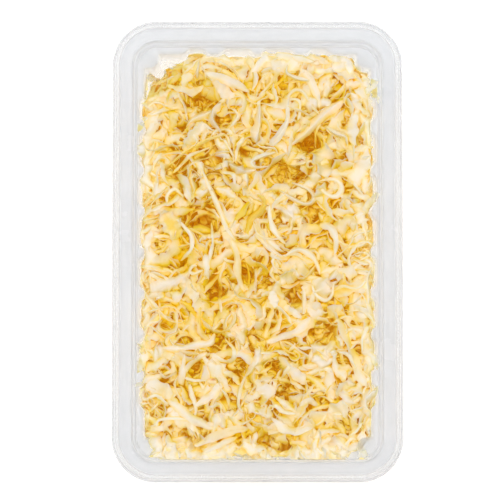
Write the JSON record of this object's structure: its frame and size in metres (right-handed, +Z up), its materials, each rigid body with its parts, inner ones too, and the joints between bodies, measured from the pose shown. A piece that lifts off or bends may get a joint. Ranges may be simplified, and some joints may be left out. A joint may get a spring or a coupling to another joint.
{
  "type": "sauerkraut in a food tray",
  "caption": "Heap of shredded fermented cabbage in an open, see-through rectangular food tray with a wide rolled rim, a ledge and fluted sloping walls.",
  "frame": {"origin": "middle of the tray's flat underside", "axes": "+Z up out of the open tray, +Y along its long side"},
  "size_m": [0.144, 0.23, 0.05],
  "materials": {
    "clear_plastic": "frosted see-through polypropylene",
    "cabbage": "moist pale straw-yellow cabbage"
  },
  "bodies": {
    "root": {"tray": "clear_plastic", "sauerkraut": "cabbage"}
  },
  "joints": []
}
